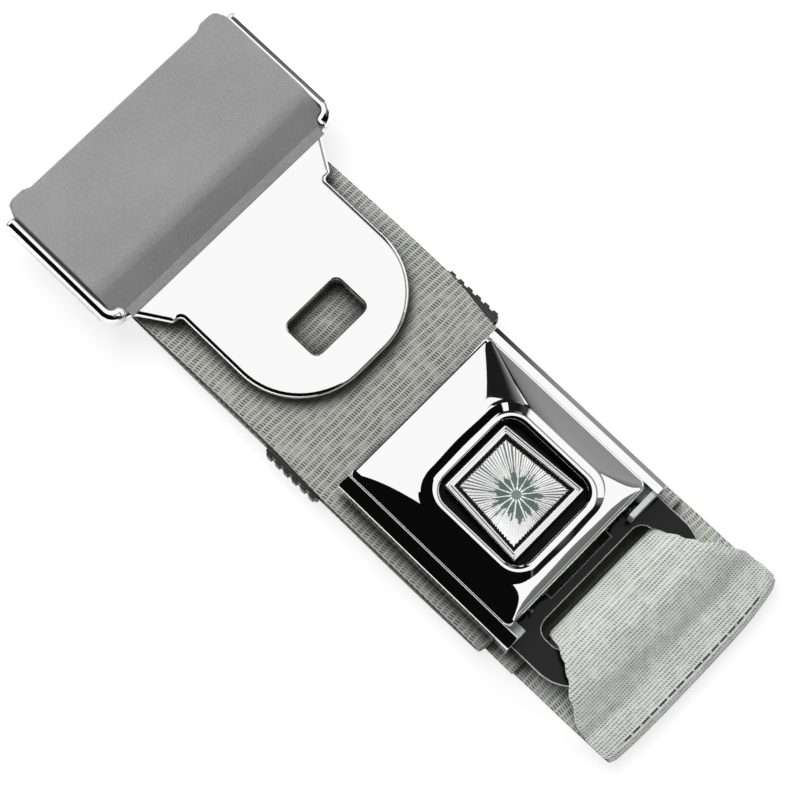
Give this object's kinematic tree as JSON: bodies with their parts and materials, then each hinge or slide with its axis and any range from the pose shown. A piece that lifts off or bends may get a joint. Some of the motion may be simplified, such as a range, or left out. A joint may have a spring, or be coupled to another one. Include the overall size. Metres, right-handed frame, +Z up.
{
  "type": "lap belt buckle set",
  "caption": "Push-button lap belt buckle with a wide flat tongue plate and folded webbing bundled flat beneath both by a slide keeper.",
  "frame": {"origin": "on the surface the bundle lies on, on the webbing's centre line, at the bundle's mid-length", "axes": "+X along the belt from the tongue to the buckle's webbing fold, +Y across the webbing, +Z up"},
  "size_m": [0.1577, 0.0618, 0.0185],
  "materials": {
    "webbing": "woven polyester webbing, soft sheen",
    "keeper_plastic": "matte moulded",
    "bright_chrome": "mirror polished plating",
    "grey_plastic": "fine grained moulding",
    "bar_steel": "zinc plated",
    "spring_steel": "drawn wire and strip",
    "frame_black": "glossy black coating",
    "liner_black": "glossy",
    "guide_plastic": "natural moulded",
    "button_core": "glossy",
    "button_chrome": "bright plating",
    "insert_silver": "bright, ray-cut pressing"
  },
  "bodies": {
    "strap": {"tongue_strap": "webbing", "lower_strap": "webbing"},
    "keeper": {"webbing_keeper": "keeper_plastic"},
    "tongue": {"tongue_plate": "bright_chrome", "tongue_cover": "grey_plastic", "tongue_webbing": "webbing", "lock_bar_springs": "spring_steel"},
    "lock_bar": {"lock_bar": "bar_steel"},
    "buckle": {"buckle_cover": "bright_chrome", "buckle_frame": "frame_black", "well_liner": "liner_black", "blade_guides": "guide_plastic", "guide_rivets": "bar_steel", "pivot_pin": "bar_steel", "buckle_strap": "webbing", "latch_springs": "spring_steel", "button_springs": "spring_steel", "ejector_springs": "spring_steel"},
    "button": {"push_button": "button_core", "button_trim": "button_chrome", "button_insert": "insert_silver"},
    "latch": {"latch_pawl": "bar_steel"},
    "ejector": {"ejector": "guide_plastic"}
  },
  "joints": [
    {"name": "keeper_slide", "type": "slide", "parent": "strap", "child": "keeper", "axis": [1, 0, 0], "range_m": [-0.02, 0.02]},
    {"name": "tongue_unfold", "type": "hinge", "parent": "strap", "child": "tongue", "pos_m": [-0.0752, 0, 0.00758], "axis": [0, -1, 0], "range_deg": [0, 80]},
    {"name": "lock_bar_slide", "type": "slide", "parent": "tongue", "child": "lock_bar", "axis": [1, 0, 0], "range_m": [0, 0.0015], "stiffness_N_per_m": 800, "springref_m": -0.001, "deforming": ["lock_bar_springs"]},
    {"name": "buckle_unfold", "type": "hinge", "parent": "strap", "child": "buckle", "pos_m": [0.07655, 0, 0.00225], "axis": [0, 1, 0], "range_deg": [0, 80]},
    {"name": "button_press", "type": "slide", "parent": "buckle", "child": "button", "axis": [0, 0, -1], "range_m": [0, 0.002], "stiffness_N_per_m": 1500, "springref_m": -0.002, "deforming": ["button_springs"]},
    {"name": "latch_pivot", "type": "hinge", "parent": "buckle", "child": "latch", "pos_m": [0.0445, 0, 0.0107], "axis": [0, -1, 0], "range_deg": [0, 7.2], "deforming": ["latch_springs"]},
    {"name": "ejector_slide", "type": "slide", "parent": "buckle", "child": "ejector", "axis": [1, 0, 0], "range_m": [0, 0.006], "stiffness_N_per_m": 250, "springref_m": -0.002, "deforming": ["ejector_springs"]}
  ],
  "couplings": [
    {"joint": "latch_pivot", "follows": "button_press", "rad_per_m": 62.8}
  ]
}
